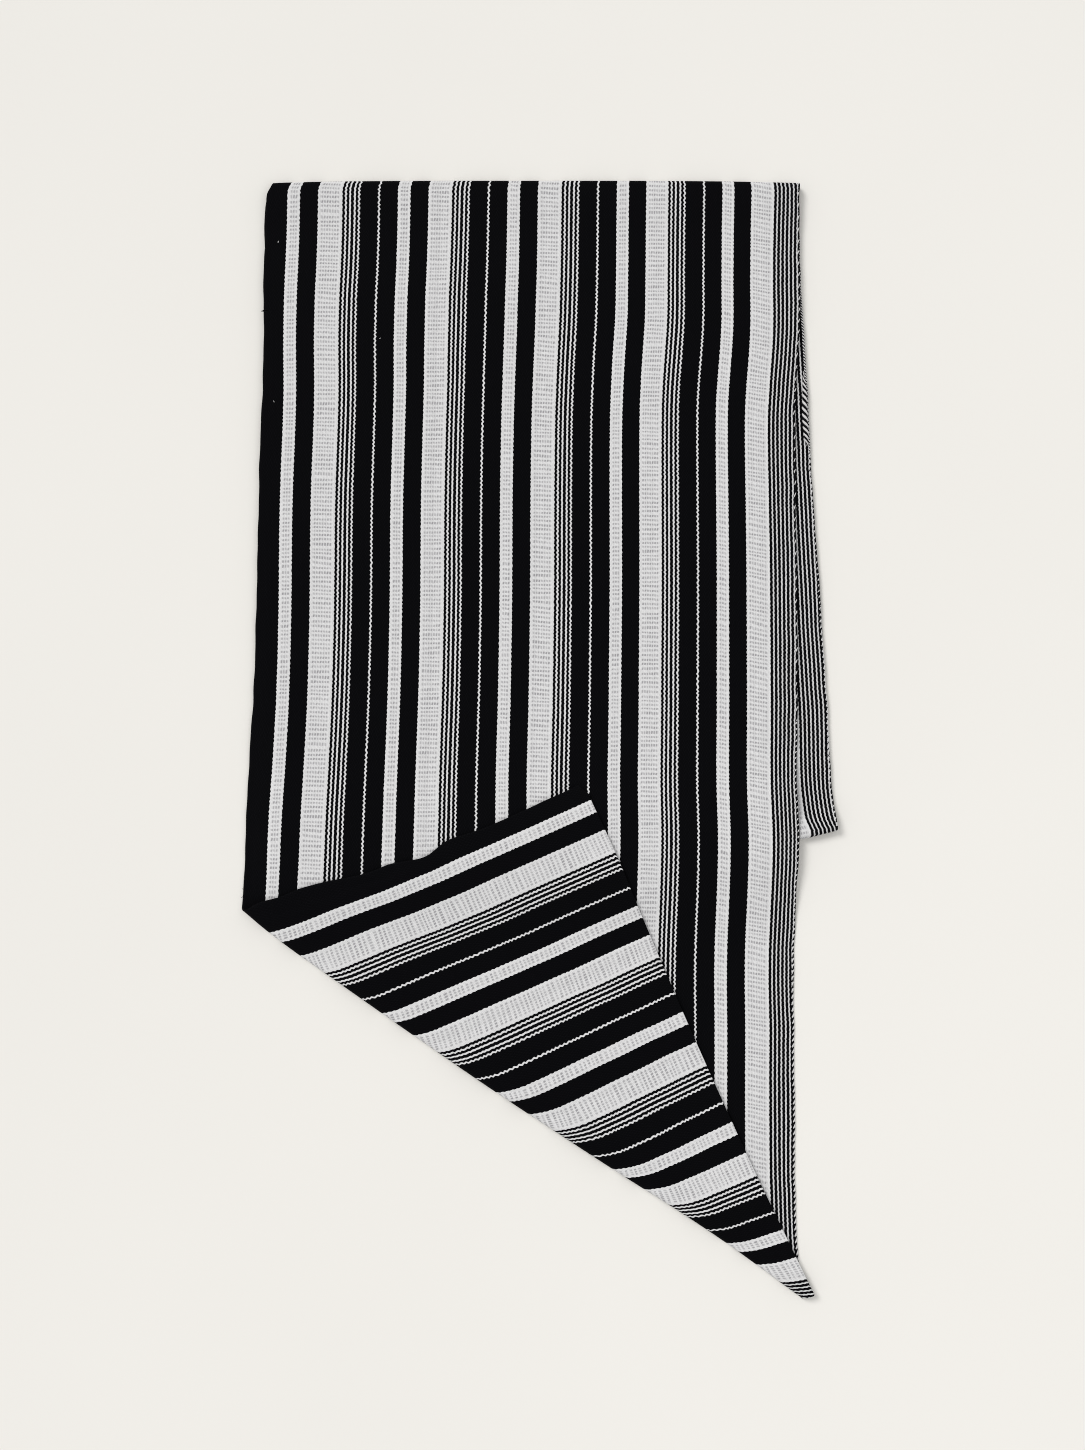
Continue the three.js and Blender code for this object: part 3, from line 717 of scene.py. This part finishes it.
    # warp threads: each a little lighter or darker at random, with painted shade across each round thread and along
    # its floats
    threads = m("DIVIDE", s2, 0.94)
    shade = g.chance(g.vector(m("FLOOR", threads), 1.0, 5.0))
    slub = g.noise(loop, 0.35, 3)
    round_ = m("SINE", m("MULTIPLY", m("FRACT", threads), math.pi))
    odd = m("FLOORED_MODULO", m("FLOOR", threads), 2.0)
    float_ = m("MULTIPLY_ADD", m("COSINE", m("MULTIPLY", m("MULTIPLY_ADD", odd, 0.5, rows), 2 * math.pi)), 0.5, 0.5)
    light = m("MULTIPLY_ADD", shade, 0.09, m("MULTIPLY_ADD", slub, 0.22, 0.82))
    # painted shade: each white warp thread lighter along its crown and where it floats over the weft, darker at its
    # sides
    light = m("MULTIPLY", light, m("MULTIPLY_ADD", m("MULTIPLY", round_, m("MULTIPLY_ADD", float_, 0.6, 0.4)), 0.20, 0.86))
    light = m("MULTIPLY", light, m("MULTIPLY_ADD", edge, -0.12, 1.0))
    bright = g.mix(light, (0.0, 0.0, 0.0), WHITE)
    bright = g.mix(dash, bright, WEFT)
    # painted highlight: the black threads a little lighter along their crowns where they float, unevenly along the
    # slubs
    dark = g.mix(m("MULTIPLY", m("MULTIPLY", float_, round_), slub), BLACK, (0.0052, 0.0052, 0.0064))
    colour = g.mix(white, dark, bright)
    height = m("MULTIPLY_ADD", m("MULTIPLY", round_, m("MULTIPLY_ADD", float_, 0.75, 0.25)), 0.8, m("MULTIPLY", slub, 0.35))
    height = m("SUBTRACT", height, m("MULTIPLY", dash, 0.7))
    g.bump(height, 0.45, 0.0004)
    rough = m("MULTIPLY_ADD", dash, 0.06, m("MULTIPLY_ADD", slub, 0.18, 0.80))
    return g.finish(colour, rough, 0.025, 0.012)


def yarn(name, colour, deep):
    g = Graph(name)
    at = g.node("ShaderNodeTexCoord").outputs["Object"]
    fibre = g.noise(at, 2600.0, 3, 0.6)
    tone = g.noise(at, 330.0, 2)
    col = g.mix(g.math("MULTIPLY_ADD", tone, 0.6, g.math("MULTIPLY", fibre, 0.4)), deep, colour)
    g.bump(fibre, 0.4, 0.0002)
    return g.finish(col, g.math("MULTIPLY_ADD", fibre, 0.15, 0.80), 0.03, 0.012)


def pale_floor():
    g = Graph("pale_floor")
    at = g.node("ShaderNodeTexCoord").outputs["Object"]
    tone = g.noise(at, 2.2, 3)
    col = g.mix(tone, (0.80, 0.785, 0.75), (0.84, 0.825, 0.79))
    return g.finish(col, g.span(tone, 0.3, 0.7, 0.85, 0.95), 0.1, 0.0)


COTTON = striped_cotton()
WHITE_YARN = yarn("white_yarn", (0.76, 0.755, 0.75), (0.5, 0.495, 0.5))
BLACK_YARN = yarn("black_yarn", (0.007, 0.007, 0.0085), (0.003, 0.003, 0.0036))

sheet = make_sheet("cloth_sheet")
sheet.data.materials.append(COTTON)

# ---- selvedges: the outermost warp threads twist round the turning weft ----
TWIST = ROWS_EVERY


def selvedge(u, v0, v1, size, slots, pitch, step=0.55, inside=0.0, above=0.0):
    """Twisted strands along an edge; size is one radius, or rows of v and radius."""
    v = np.arange(v0, v1, step)
    centre = surface(np.full_like(v, u), v)
    down, over, out = facing(np.full_like(v, u), v)
    away = over if u > WIDTH / 2 else -over
    r = np.full_like(v, size) if np.isscalar(size) else read(np.array(size, float), 1, v)
    centre = centre - away * (0.45 * r + inside)[:, None]
    centre[:, 2] = np.maximum(centre[:, 2] + above, 1.1 * r)
    angle = 2 * np.pi * (v + 0.5 * np.sin(v / 8.3)) / pitch
    n = len(slots)
    ring, thick = {2: (0.52, 0.56), 4: (0.62, 0.47)}[n]
    made = []
    for k, slot in enumerate(slots):
        a = angle + 2 * np.pi * k / n
        path = centre + (np.cos(a) * r * ring)[:, None] * away + (np.sin(a) * r * ring)[:, None] * out
        made.append((*tube(path, r * thick, 6), slot))
    return made


# the back leg's right selvedge is rolled in near its middle and twisted hard above it: v, radius
ROLLED = [(-209, 0.5), (-204, 1.5), (-196, 2.0), (-178, 2.0), (-168, 1.7), (-158, 0.9), (-152, 0.4)]
TWISTED = [(-214, 0.8), (-190, 0.85), (-150, 0.95), (-80, 1.05), (-14, 0.85)]
PLAIN_RIGHT = 0.82
right_edge = strands_object(
    "selvedge_right",
    selvedge(WIDTH, -BACK_LONG - UNDER_LONG + 1, -213.0, PLAIN_RIGHT, (0, 1), 4.4)
    + selvedge(WIDTH, -214.0, -14.0, TWISTED, (1, 0, 1, 0), -4.6)
    + selvedge(WIDTH, -209.0, -152.0, ROLLED, (0, 1, 0, 1), -9.5, 0.55, 1.5, 0.9)
    + selvedge(WIDTH, -15.0, 400.5, PLAIN_RIGHT, (1, 1, 1, 0), 8.8)
    + selvedge(WIDTH, 400.0, FRONT_RIGHT - 0.6, PLAIN_RIGHT, (0, 1), 4.4),
    [WHITE_YARN, BLACK_YARN])
left_edge = strands_object(
    "selvedge_left", selvedge(0.0, -BACK_LONG - UNDER_LONG + 1, FRONT_LEFT - 3.0, 0.68, (0, 0), TWIST), [BLACK_YARN])

# ---- loose fibres caught on the cloth: u, v, length, turn, slot, radius ----
FIBRES = [
    (9.4, 54.0, 1.5, 80, 0, 0.3), (86.6, 126.7, 1.3, 20, 0, 0.2), (8.5, 176.0, 1.5, 120, 0, 0.2),
    (0.3, 107.5, 5.0, 165, 1, 0.4), (0.3, 106.6, 4.4, 195, 1, 0.4),
    (0.4, 541.0, 4.2, 200, 1, 0.25), (0.3, 536.0, 3.0, 150, 1, 0.25)]


def fibre(u, v, long, turn, slot, thick):
    c = surface(u, v)
    _, _, out = facing(np.array([u]), np.array([v]))
    a = math.radians(turn)
    t = np.linspace(-0.5, 0.5, 7)
    path = c + out[0] * (THICK / 2 + 0.7 * thick) + np.stack([
        long * t * math.cos(a) - 0.3 * long * t * t * math.sin(a),
        long * t * math.sin(a) + 0.3 * long * t * t * math.cos(a), 0.12 * np.cos(6 * t)], -1)
    return (*tube(path, thick * (1 - 0.5 * np.abs(2 * t) ** 3), 5), slot)


fibres = strands_object("loose_fibres", [fibre(*row) for row in FIBRES], [WHITE_YARN, BLACK_YARN])

for piece in (sheet, right_edge, left_edge, fibres):
    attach(piece, "root")
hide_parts("cloth")

# ---- floor, light, camera ----
ground = mesh_object("ground", [(-30, -30, 0), (30, -30, 0), (30, 30, 0), (-30, 30, 0)], [(0, 1, 2, 3)])
ground.data.materials.append(pale_floor())


def area_light(name, at, target, size, power, colour):
    data = bpy.data.lights.new(name, "AREA")
    data.shape = "DISK"
    data.size = size
    data.energy = power
    data.color = colour
    ob = bpy.data.objects.new(name, data)
    ob.location = at
    ob.rotation_mode = "QUATERNION"
    ob.rotation_quaternion = (Vector(target) - Vector(at)).to_track_quat("-Z", "Y")
    bpy.context.scene.collection.objects.link(ob)


area_light("fill", (1.6, -1.4, 3.0), (0, 0, 0), 2.4, 16, (0.98, 0.99, 1.0))
sun = bpy.data.lights.new("key", "SUN")
sun.energy = 1.75
sun.angle = math.radians(24)
sun.color = (1.0, 0.988, 0.972)
key = bpy.data.objects.new("key", sun)
key.location = (-1.5, 1.4, 1.9)
key.rotation_mode = "QUATERNION"
key.rotation_quaternion = Vector((1.5, -1.4, -1.9)).to_track_quat("-Z", "Y")
bpy.context.scene.collection.objects.link(key)

world = bpy.data.worlds.new("studio")
world.use_nodes = True
world.node_tree.nodes["Background"].inputs[0].default_value = (1.0, 0.995, 0.985, 1)
world.node_tree.nodes["Background"].inputs[1].default_value = 0.60
bpy.context.scene.world = world

DISTANCE = 0.95238
TILT = math.radians(4.1638)
cam_data = bpy.data.cameras.new("camera")
cam_data.sensor_width = 36.0
cam_data.lens = 36.0 * 1300 / 1450
camera = bpy.data.objects.new("camera", cam_data)
camera.location = (FRAME_X * 0.001, FRAME_Y * 0.001 - DISTANCE * math.sin(TILT), DISTANCE * math.cos(TILT))
camera.rotation_euler = (TILT, 0, 0)
bpy.context.scene.collection.objects.link(camera)
bpy.context.scene.camera = camera
bpy.context.scene.view_settings.view_transform = "Standard"
bpy.context.scene.cycles.filter_width = 1.0
bpy.context.scene.cycles.denoising_prefilter = "NONE"
